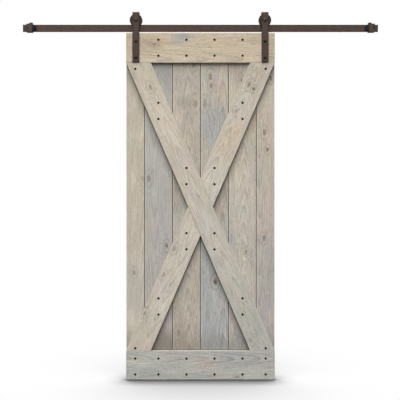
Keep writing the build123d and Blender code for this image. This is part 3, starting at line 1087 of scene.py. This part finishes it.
@dataclass
class Leaf:
    """The plank leaf: six upright planks under two level boards and the three parts of the X."""

    brace_width: float = 139.7 * MM
    bevel: float = 0.5 * MM
    # How far the painted shade reaches on the planks below the braces and above the bottom board.
    brace_shade_reach: float = 55.0 * MM
    foot_shade_reach: float = 180.0 * MM

    def planks(self) -> dict[str, BoardFinish]:
        """Choose the upright planks' finishes.

        Returns:
            The finishes by name, from left to right.
        """
        return {
            "plank_1": BoardFinish(
                Wash.PUTTY, Wash.PUTTY, Wash.OAT, seed=1.7, grime=0.0,
                pith_across=0.06, pith_depth=0.10, ring_pitch=0.006, taper=0.030,
                knots=(Knot(0.308, 0.40, 0.009, strength=0.48), Knot(0.58, 0.86, 0.012, strength=0.22)),
                patches=(
                    Patch(0.25, 0.5, 0.30, 0.10, Wash.STONE, 0.5),
                    Patch(0.576, 0.34, 0.07, 0.02, Wash.CHALK, 0.5),
                    Patch(0.17, 0.25, 0.09, 0.03, Wash.CHALK, 0.35),
                ),
                figure=0.72,
            ),
            "plank_2": BoardFinish(
                Wash.PEWTER, Wash.MAUVE, Wash.PEWTER, seed=5.3, grime=0.0,
                pith_across=-0.03, pith_depth=0.08, ring_pitch=0.0055, taper=-0.025,
                knots=(Knot(0.58, 0.14, 0.013, strength=0.42), Knot(0.386, 0.76, 0.010, strength=0.72)),
                patches=(
                    Patch(0.461, 0.18, 0.10, 0.05, Wash.CLAY, 0.6),
                    Patch(0.93, 0.6, 0.22, 0.10, Wash.SLATE, 0.8),
                    Patch(0.90, 0.6, 0.16, 0.12, Wash.BARK, 0.22),
                    Patch(0.25, 0.5, 0.35, 0.12, Wash.MAUVE, 0.8),
                    Patch(0.09, 0.7, 0.14, 0.12, Wash.BARK, 0.4),
                ),
                figure=0.7,
            ),
            "plank_3": BoardFinish(
                Wash.CLAY, Wash.CLAY, Wash.BEIGE, seed=9.1, grime=0.0,
                pith_across=0.01, pith_depth=0.075, ring_pitch=0.0055, taper=0.050,
                knots=(
                    Knot(0.797, 0.79, 0.015, strength=0.36),
                    Knot(0.907, 0.72, 0.010, strength=0.48),
                    Knot(0.134, 0.21, 0.012, strength=0.48),
                ),
                patches=(
                    Patch(0.80, 0.45, 0.05, 0.06, Wash.BARK, 0.2),
                    Patch(0.40, 0.3, 0.30, 0.09, Wash.STONE, 0.5),
                    Patch(0.52, 0.1, 0.12, 0.05, Wash.BARK, 0.2),
                    Patch(0.11, 0.5, 0.15, 0.12, Wash.BARK, 0.14),
                ),
            ),
            "plank_4": BoardFinish(
                Wash.PUTTY, Wash.SLATE, Wash.STONE, seed=12.9, grime=0.0,
                pith_across=0.05, pith_depth=0.09, ring_pitch=0.006, taper=0.030,
                knots=(
                    Knot(0.876, 0.34, 0.012, strength=0.56),
                    Knot(0.849, 0.37, 0.010, strength=0.56),
                    Knot(0.282, 0.51, 0.012, Wash.RUST, 0.95),
                    Knot(0.797, 0.15, 0.014, strength=0.36),
                ),
                patches=(
                    Patch(0.85, 0.61, 0.06, 0.04, Wash.ROSE, 0.6),
                    Patch(0.735, 0.52, 0.19, 0.12, Wash.SLATE, 0.9),
                    Patch(0.735, 0.52, 0.19, 0.12, Wash.MAUVE, 0.4),
                    Patch(0.52, 0.5, 0.28, 0.11, Wash.CLAY, 0.8),
                    Patch(0.53, 0.6, 0.30, 0.12, Wash.BARK, 0.24),
                    Patch(0.113, 0.86, 0.08, 0.012, Wash.CHALK, 0.4),
                ),
            ),
            "plank_5": BoardFinish(
                Wash.BEIGE, Wash.MAUVE, Wash.BEIGE, seed=17.3, grime=0.0,
                pith_across=0.005, pith_depth=0.06, ring_pitch=0.006, taper=0.060,
                knots=(Knot(0.864, 0.47, 0.007, strength=0.64), Knot(0.369, 0.61, 0.008, strength=0.56)),
                patches=(
                    Patch(0.89, 0.3, 0.15, 0.10, Wash.CLAY, 0.7),
                    Patch(0.91, 0.4, 0.16, 0.12, Wash.BARK, 0.2),
                    Patch(0.11, 0.3, 0.14, 0.12, Wash.SLATE, 0.5),
                    Patch(0.48, 0.5, 0.36, 0.12, Wash.CHALK, 0.3),
                    Patch(0.25, 0.5, 0.22, 0.11, Wash.OAT, 0.6),
                    Patch(0.402, 0.13, 0.06, 0.03, Wash.SLATE, 0.6),
                    Patch(0.347, 0.56, 0.03, 0.012, Wash.CHALK, 0.6),
                ),
            ),
            "plank_6": BoardFinish(
                Wash.BEIGE, Wash.MAUVE, Wash.ROSE, seed=21.1, grime=0.0,
                pith_across=-0.04, pith_depth=0.08, ring_pitch=0.0055, taper=-0.030,
                knots=(
                    Knot(0.714, 0.46, 0.011, strength=0.64),
                    Knot(0.664, 0.61, 0.008, strength=0.88),
                    Knot(0.407, 0.43, 0.010, strength=0.64),
                    Knot(0.870, 0.80, 0.009, strength=0.8),
                ),
                patches=(
                    Patch(0.400, 0.26, 0.04, 0.03, Wash.SLATE, 0.6),
                    Patch(0.330, 0.61, 0.08, 0.04, Wash.MAUVE, 0.5),
                ),
                figure=0.85,
            ),
        }

    def face_boards(self) -> dict[str, BoardFinish]:
        """Choose the two level boards' finishes.

        Returns:
            The finishes by name.
        """
        return {
            "top_board": BoardFinish(
                Wash.CREAM, Wash.CREAM, Wash.BEIGE, seed=25.7,
                pith_across=0.07, pith_depth=0.10, ring_pitch=0.006, taper=0.030,
                knots=(Knot(0.189, 0.39, 0.007, strength=0.64),),
                patches=(
                    Patch(0.376, 0.17, 0.08, 0.04, Wash.SLATE, 0.95),
                    Patch(0.376, 0.14, 0.07, 0.03, Wash.BARK, 0.16),
                    Patch(0.985, 0.5, 0.07, 0.12, Wash.HONEY, 0.7),
                    Patch(0.09, 0.5, 0.17, 0.14, Wash.HONEY, 0.6),
                    Patch(0.46, 0.12, 0.05, 0.04, Wash.ROSE, 0.4),
                ),
            ),
            "bottom_board": BoardFinish(
                Wash.STONE, Wash.STONE, Wash.SLATE, seed=29.9,
                pith_across=-0.04, pith_depth=0.07, ring_pitch=0.006, taper=0.040,
                knots=(Knot(0.749, 0.90, 0.008, strength=0.48),),
                patches=(
                    Patch(0.537, 0.45, 0.10, 0.035, Wash.ROSE, 0.45),
                    Patch(0.073, 0.44, 0.09, 0.03, Wash.CHALK, 0.35),
                ),
            ),
        }

    def braces(self) -> dict[str, BoardFinish]:
        """Choose the finishes of the whole brace and of the two halves cut against it.

        Returns:
            The finishes by name.
        """
        return {
            "long_brace": BoardFinish(
                Wash.BEIGE, Wash.STONE, Wash.BEIGE, seed=33.1,
                pith_across=0.01, pith_depth=0.08, ring_pitch=0.0055, taper=0.030,
                knots=(
                    Knot(0.900, 0.56, 0.010, strength=0.48),
                    Knot(0.061, 0.21, 0.010, strength=0.32),
                ),
                patches=(
                    Patch(0.42, 0.5, 0.60, 0.12, Wash.OAT, 0.7),
                    Patch(0.80, 0.5, 0.25, 0.10, Wash.CHALK, 0.3),
                    Patch(0.319, 0.28, 0.05, 0.03, Wash.MAUVE, 0.6),
                ),
                figure=0.85,
            ),
            "upper_half_brace": BoardFinish(
                Wash.OAT, Wash.OAT, Wash.BEIGE, seed=37.7,
                pith_across=-0.02, pith_depth=0.07, ring_pitch=0.006, taper=0.060,
                knots=(
                    Knot(0.906, 0.34, 0.010, strength=0.64),
                    Knot(0.900, 0.60, 0.007, strength=0.96),
                    Knot(0.815, 0.26, 0.008, strength=0.4),
                ),
                patches=(
                    Patch(0.96, 0.5, 0.14, 0.12, Wash.PUTTY, 0.9),
                    Patch(0.717, 0.49, 0.18, 0.07, Wash.CREAM, 0.8),
                    Patch(0.60, 0.5, 0.16, 0.08, Wash.CHALK, 0.25),
                ),
            ),
            "lower_half_brace": BoardFinish(
                Wash.OAT, Wash.OAT, Wash.BEIGE, seed=41.3,
                pith_across=0.02, pith_depth=0.075, ring_pitch=0.0055, taper=-0.045,
                knots=(
                    Knot(0.348, 0.17, 0.010, strength=0.48),
                    Knot(0.263, 0.19, 0.010, strength=0.48),
                    Knot(0.129, 0.10, 0.009, strength=0.48),
                ),
                patches=(
                    Patch(0.227, 0.53, 0.05, 0.03, Wash.SLATE, 0.5),
                    Patch(0.06, 0.5, 0.20, 0.12, Wash.PUTTY, 0.7),
                ),
            ),
        }

    def board(self, node: str, grain: Grain) -> Board:
        """Work out where a board lies from the frame.

        Args:
            node: The board's name.
            grain: Which way its length runs.

        Returns:
            The board's place.
        """
        low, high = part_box("long_brace" if grain in (Grain.FALLING, Grain.RISING) else node)
        span = high - low
        face = Vector(((low.x + high.x) / 2, low.y, (low.z + high.z) / 2))
        if grain is Grain.UPRIGHT:
            lines = [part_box(plank)[0].x - face.x for plank in self.planks() if plank != "plank_1"]
            seams = tuple(line for line in lines if abs(line) < span.x)
            return Board(face, 0.0, span.z, span.x, seams, self.ledges())
        if grain is Grain.LEVEL:
            return Board(face, -math.pi / 2, span.x, span.z, lit_edge=-1.0)
        slant = math.sqrt(span.z**2 + span.x**2 - self.brace_width**2)
        lean = math.atan2(span.x, span.z) - math.atan2(self.brace_width, slant)
        side = 1.0 if grain is Grain.FALLING else -1.0
        return Board(face, side * lean, slant, self.brace_width, lit_edge=side)

    def ledges(self) -> tuple[Ledge, ...]:
        """Find the edges of boards along which shade is painted on the planks.

        Returns:
            The lower edges of the braces and the upper edge of the bottom board.
        """
        falling, rising = self.board("long_brace", Grain.FALLING), self.board("long_brace", Grain.RISING)
        edges = [(falling, Vector((-math.cos(falling.turn), 0.0, -math.sin(falling.turn)))),
                 (rising, Vector((math.cos(rising.turn), 0.0, math.sin(rising.turn))))]
        under = [Ledge(brace.centre + away * brace.width / 2, away, self.brace_shade_reach)
                 for brace, away in edges]
        foot = Ledge(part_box("bottom_board")[1], Vector((0.0, 0.0, 1.0)), self.foot_shade_reach)
        return (*under, foot)

    def dress(self) -> None:
        """Give each board its own wood."""
        for node, finish in self.planks().items():
            self.dress_board(node, Grain.UPRIGHT, finish)
        for node, finish in self.face_boards().items():
            self.dress_board(node, Grain.LEVEL, finish)
        for node, finish in self.braces().items():
            self.dress_board(node, Grain.FALLING if node == "long_brace" else Grain.RISING, finish)

    def dress_board(self, node: str, grain: Grain, finish: BoardFinish) -> None:
        """Give one board its wood.

        Args:
            node: The board's name.
            grain: Which way its length runs.
            finish: Its wash, rings and knots.
        """
        shader = WoodShader(f"{node}_wood", self.board(node, grain), finish)
        dress(node, shader.material(), self.bevel)


@dataclass
class BoardScrews:
    """The black screws that hold the face boards and braces."""

    head_radius: float = 5.7 * MM
    head_height: float = 1.8 * MM
    recess_radius: float = 1.6 * MM
    recess_depth: float = 1.3 * MM
    recess_taper: float = 0.85
    recess_lip_share: float = 0.15
    brow_shares: tuple[float, ...] = (0.42, 0.56, 0.70, 0.83, 0.93, 1.0)
    brow_drop_share: float = 0.8
    brow_power: int = 3
    shank_radius: float = 2.25 * MM
    point_length: float = 7.0 * MM

    def build(self) -> None:
        """Make the screws: a low round head with a six-lobed recess, over a plain pointed shank."""
        low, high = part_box("board_screws")
        recess = [
            (0.0, -self.recess_depth),
            (six_lobes(self.recess_taper * self.recess_radius), -self.recess_depth),
            (six_lobes(self.recess_radius), -self.recess_lip_share * self.head_height),
        ]
        drop = self.brow_drop_share * self.head_height
        brow = [(share * self.head_radius, -drop * share**self.brow_power) for share in self.brow_shares]
        shank = [
            (self.head_radius, -self.head_height),
            (self.shank_radius, -self.head_height),
            (self.shank_radius, low.y - high.y + self.point_length),
            (0.0, low.y - high.y),
        ]
        screw = Turned([*recess, *brow, *shank])
        fit("truss_screws", screw, "board_screws", "door", BLACKED.material("screw_black"))


@dataclass
class Rail:
    """The flat bar, the spacers behind it, the lag screws that hold it, and the stop at each end."""

    bevel: float = 0.5 * MM
    head_radius: float = 8.5 * MM
    shank_radius: float = 4.0 * MM
    socket_half_flats: float = 2.6 * MM
    socket_depth: float = 3.0 * MM
    socket_tip: float = 0.6 * MM
    socket_mouth: float = 1.3
    edge: float = 0.3 * MM
    point_length: float = 6.0 * MM
    point_taper: float = 0.08
    thread: Thread = Thread(3.3 * MM, 4.0 * MM, 3.6 * MM, 0.22)

    def build(self) -> None:
        """Make the lag screws: a countersunk socket head, a plain shank and a pointed thread."""
        low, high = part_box("rail_bolts")
        end = low.y - high.y
        cone = self.head_radius - self.shank_radius
        head = [
            (0.0, -self.socket_depth - self.socket_tip),
            (hexagon(self.socket_half_flats), -self.socket_depth),
            (hexagon(self.socket_half_flats), -self.edge),
            (self.socket_mouth * self.socket_half_flats, 0.0),
            (self.head_radius - self.edge, 0.0),
            (self.head_radius, -self.edge),
            (self.shank_radius, -self.edge - cone),
            (self.shank_radius, low.y),
        ]
        thread = self.thread.rings(low.y, end + self.point_length)
        point = self.thread.rings(end + self.point_length, end, self.point_taper)
        lag = Turned([*head, *thread, *point[1:], (0.0, end)])
        fit("lag_screws", lag, "rail_bolts", "rail", BRONZE.material("lag_bronze"))

    def dress(self) -> None:
        """Give the rail and its stops their finishes."""
        # The rail and the stop bodies get painted shade along the edges of their outline.
        dress("track_rail", BRONZE.material("rail_bronze", outline("track_rail")))
        bronze = BRONZE.material("fitting_bronze")
        for node in frame["record"]["behaviour"]["bodies"]["rail"]:
            if node.startswith("rail_spacer"):
                dress(node, bronze)
        rubber = RubberFinish().material("bumper_rubber")
        blacked = BLACKED.material("stop_screw_black")
        for side in ("left", "right"):
            shaded_edges = outline(f"{side}_stop_body")
            dress(f"{side}_stop_body", BRONZE.material(f"{side}_stop_bronze", shaded_edges), self.bevel)
            dress(f"{side}_bumper", rubber)
            dress(f"{side}_stop_screw", blacked)


@dataclass
class Hangers:
    """Bent straps with their bolts, and the bearings and wheels that they carry."""

    strap_head: Triple = (10.0 * MM, 4.3 * MM, 1.2 * MM)
    strap_thread: Thread = Thread(3.4 * MM, 4.0 * MM, 1.25 * MM)
    strap_nut: tuple[float, float] = (6.5 * MM, 6.5 * MM)
    axle_head: Triple = (11.5 * MM, 5.5 * MM, 1.5 * MM)
    axle_thread: Thread = Thread(5.2 * MM, 6.0 * MM, 1.75 * MM)
    axle_nut: tuple[float, float] = (9.0 * MM, 9.0 * MM)
    thread_length: float = 11.0 * MM
    bore_gap: float = 0.3 * MM
    nut_lead_share: float = 0.1
    nut_face_share: float = 0.96
    nut_corner_shares: tuple[float, ...] = (0.0, 0.5, 1.0)
    nut_chamfer: float = 0.6
    # How far out from an axle head's rim its ring of painted shade lies.
    head_shade_offset: float = 1.2 * MM

    def bolt(self, node: str, head: Triple, thread: Thread) -> Turned:
        """Shape a dome-headed bolt with a threaded tail.

        Args:
            node: The node that gives its length.
            head: The head's radius, dome and rim.
            thread: The thread on its tail.

        Returns:
            The bolt.
        """
        low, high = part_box(node)
        end = low.y - high.y
        back = -head[1] - head[2]
        shank = [(thread.crest, back), (thread.crest, end + self.thread_length)]
        tail = thread.rings(end + self.thread_length, end + thread.pitch)
        tip = thread.rings(end + thread.pitch, end, thread.root / thread.crest)
        return Turned([*domed_head(*head), *shank, *tail, *tip[1:], (0.0, end)])

    def nut(self, half_flats: float, thickness: float, bore: float) -> Turned:
        """Shape a hexagon nut with chamfered corners and bore.

        Args:
            half_flats: The distance from the middle to a flat.
            thickness: Its height.
            bore: The radius of its hole.

        Returns:
            The nut.
        """
        corner = half_flats / math.cos(math.pi / 6) - half_flats
        cuts = [share * corner for share in self.nut_corner_shares]
        sides = [(hexagon(half_flats, half_flats + cut), -self.nut_chamfer * cut) for cut in cuts]
        lead = self.nut_lead_share * half_flats
        front = [(bore, -lead), (bore + lead, 0.0), (self.nut_face_share * half_flats, 0.0), *sides]
        back = [(radius, -thickness - height) for radius, height in reversed(front)]
        return Turned([*front, *back], bored=True)

    def rings(self) -> list[tuple[Vector, float]]:
        """Return the middle and radius of the ring of painted shade round each axle bolt's head."""
        radius = self.axle_head[0] + self.head_shade_offset
        return [(middle, radius) for middle in middles("axle_bolts")]

    def build(self) -> None:
        """Make the bolts and nuts of both hangers."""
        bolt_bronze = BOLT_BRONZE.material("bolt_bronze")
        # The axle heads get painted shade round their rims.
        axle_bronze = BRONZE.material("axle_bronze", rings=self.rings())
        strap_bolt = self.bolt("strap_bolts", self.strap_head, self.strap_thread)
        axle_bolt = self.bolt("axle_bolts", self.axle_head, self.axle_thread)
        fit("strap_dome_bolts", strap_bolt, "strap_bolts", "door", bolt_bronze)
        fit("axle_dome_bolts", axle_bolt, "axle_bolts", "door", axle_bronze)
        strap_nut = self.nut(*self.strap_nut, self.strap_thread.crest + self.bore_gap)
        axle_nut = self.nut(*self.axle_nut, self.axle_thread.crest + self.bore_gap)
        fit("strap_hex_nuts", strap_nut, "strap_nuts", "door", bolt_bronze)
        fit("axle_hex_nuts", axle_nut, "axle_nuts", "door", axle_bronze)

    def dress(self) -> None:
        """Give the straps, bearings and wheels their finishes."""
        wheel_bronze = WHEEL_BRONZE.material("wheel_bronze")
        steel = GROUND_STEEL.material("bearing_steel")
        dress("strap_washers", BRONZE.material("washer_bronze"))
        dress("axle_spacers", steel)
        for side in ("left", "right"):
            sides, ends = outline(f"{side}_hanger_strap")
            # The ends come twice, so that the painted shade at the strap's bent top and foot is deeper;
            # rings of painted shade lie round the axle heads.
            shaded_edges = (sides, ends, ends)
            dress(f"{side}_hanger_strap", BRONZE.material(f"{side}_strap_bronze", shaded_edges, self.rings()))
            dress(f"{side}_wheel", wheel_bronze)
            dress(f"{side}_bearing_inner_ring", steel)
            dress(f"{side}_bearing_outer_ring", steel)


@dataclass
class Studio:
    """Plain white surroundings: a pale floor, soft light, lamps in front, behind and aside, and a camera."""

    floor_gap: float = 4.0 * MM
    floor_size: float = 60.0
    floor_bounce: float = 0.06
    near_shade: tuple[float, float] = (0.145, 1.9)
    far_shade: tuple[float, float] = (1.2, 0.9)
    shade_samples: int = 16
    floor_white: float = 1.04
    lens: float = 60.0
    eye: Triple = (-0.0028, -4.151, -1.0586)
    key_from: Triple = (-0.15, -1.0, 2.1)
    key_angle: float = math.radians(62.0)
    key_strength: float = 4.6
    side_place: Triple = (-2.4, -3.2, 1.8)
    side_size: float = 0.4
    side_power: float = 20.0
    sky: float = 0.68
    sky_side_fall: float = 0.85
    back_from: Triple = (0.5, 1.4, 1.6)
    back_angle: float = math.radians(35.0)
    back_strength: float = 2.6

    def floor(self) -> None:
        """Lay a pale floor that glows white, with the leaf's soft shadow painted into its glow from
        occlusion.
        """
        level = cad_box[0].z - self.floor_gap
        half = self.floor_size / 2
        corners = [(-half, -half, level), (half, -half, level), (half, half, level), (-half, half, level)]
        mesh = bpy.data.meshes.new("floor")
        mesh.from_pydata(corners, [], [(0, 1, 2, 3)])
        floor = bpy.data.objects.new("floor", mesh)
        bpy.context.scene.collection.objects.link(floor)
        graph = Graph(bpy.data.materials.new("floor_white"))
        shade = self.floor_white
        # Painted shadow: the glow dims where the leaf occludes the floor.
        for reach, power in (self.near_shade, self.far_shade):
            occlusion = graph.add(
                "ShaderNodeAmbientOcclusion", {"Distance": reach}, samples=self.shade_samples)
            shade = graph.product(graph.math("POWER", occlusion.outputs["AO"], power), shade)
        shine = {"Color": WHITE, "Strength": graph.math("MINIMUM", shade, 1.0)}
        white = graph.add("ShaderNodeEmission", shine).outputs[0]
        bounce = graph.add("ShaderNodeBsdfDiffuse", {"Color": (self.floor_bounce,) * 3}).outputs[0]
        surface = graph.add("ShaderNodeMixShader", {0: graph.seen(), 1: bounce, 2: white})
        graph.add("ShaderNodeOutputMaterial", {"Surface": surface.outputs[0]})
        mesh.materials.append(graph.owner)

    def world(self) -> None:
        """Make the surroundings white to look at, and otherwise a wide soft light from above."""
        world = bpy.data.worlds.new("studio")
        bpy.context.scene.world = world
        graph = Graph(world)
        aside = graph.parts(graph.add("ShaderNodeTexCoord").outputs["Generated"])[0]
        fall = -self.sky_side_fall * self.sky
        strength = graph.math("MULTIPLY_ADD", graph.product(aside, aside), fall, self.sky)
        soft, white = (graph.add("ShaderNodeBackground", {"Color": WHITE, "Strength": level}).outputs[0]
                       for level in (strength, 1.0))
        mixed = graph.add("ShaderNodeMixShader", {0: graph.seen(), 1: soft, 2: white})
        graph.add("ShaderNodeOutputWorld", {"Surface": mixed.outputs[0]})

    def lamp(self, data: bpy.types.Light, place: Triple) -> None:
        """Hang a lamp that points at the middle of the rail.

        Args:
            data: The kind of lamp.
            place: Where it hangs.
        """
        lamp = bpy.data.objects.new(data.name, data)
        bpy.context.scene.collection.objects.link(lamp)
        lamp.location = place
        lamp.rotation_euler = (-lamp.location).to_track_quat("-Z", "Y").to_euler()

    def lamps(self) -> None:
        """Hang a broad lamp high in front, one behind for the back, and a weak square one at the left."""
        suns = (
            ("key_lamp", self.key_from, self.key_angle, self.key_strength),
            ("back_lamp", self.back_from, self.back_angle, self.back_strength),
        )
        for name, place, angle, strength in suns:
            sun = bpy.data.lights.new(name, "SUN")
            sun.angle = angle
            sun.energy = strength
            self.lamp(sun, place)
        side = bpy.data.lights.new("side_lamp", "AREA")
        side.size = self.side_size
        side.energy = self.side_power
        self.lamp(side, self.side_place)

    def camera(self) -> None:
        """Set the camera level, in front of the leaf's middle."""
        data = bpy.data.cameras.new("camera")
        data.lens = self.lens
        camera = bpy.data.objects.new("camera", data)
        bpy.context.scene.collection.objects.link(camera)
        camera.location = self.eye
        camera.rotation_euler = (math.pi / 2, 0.0, 0.0)
        bpy.context.scene.camera = camera

    def build(self) -> None:
        """Set up the floor, the light and the camera."""
        bpy.context.scene.view_settings.view_transform = "Standard"
        self.floor()
        self.world()
        self.lamps()
        self.camera()


def main() -> None:
    """Build the sub-assemblies and the studio in order."""
    logging.basicConfig(level=logging.INFO, format="%(message)s")
    Leaf().dress()
    BoardScrews().build()
    for assembly in (Rail(), Hangers()):
        assembly.build()
        assembly.dress()
    Studio().build()


if __name__ == "__main__":
    main()
